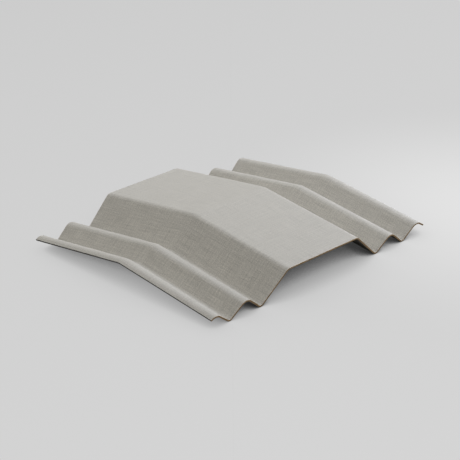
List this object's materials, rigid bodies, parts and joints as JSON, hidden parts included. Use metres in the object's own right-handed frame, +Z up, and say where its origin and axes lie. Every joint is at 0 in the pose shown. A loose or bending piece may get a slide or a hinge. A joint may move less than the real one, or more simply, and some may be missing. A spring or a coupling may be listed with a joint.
{
  "type": "roof ridge cap",
  "caption": "Folded fibre-cement ridge cap with a broad flat-topped crown between rounded waves, a low wave to tuck under the next cap and a full wave to lap over it.",
  "frame": {"origin": "middle of the bounding box, on the floor that the lower edges of the valleys touch", "axes": "+X along the ridge line towards the overlapping edge wave, +Y down the back flap, +Z up"},
  "size_m": [1.1102, 0.9282, 0.1676],
  "materials": {
    "fibre_cement": "matt, fine woven texture"
  },
  "bodies": {
    "root": {"ridge_cap": "fibre_cement"}
  },
  "joints": []
}
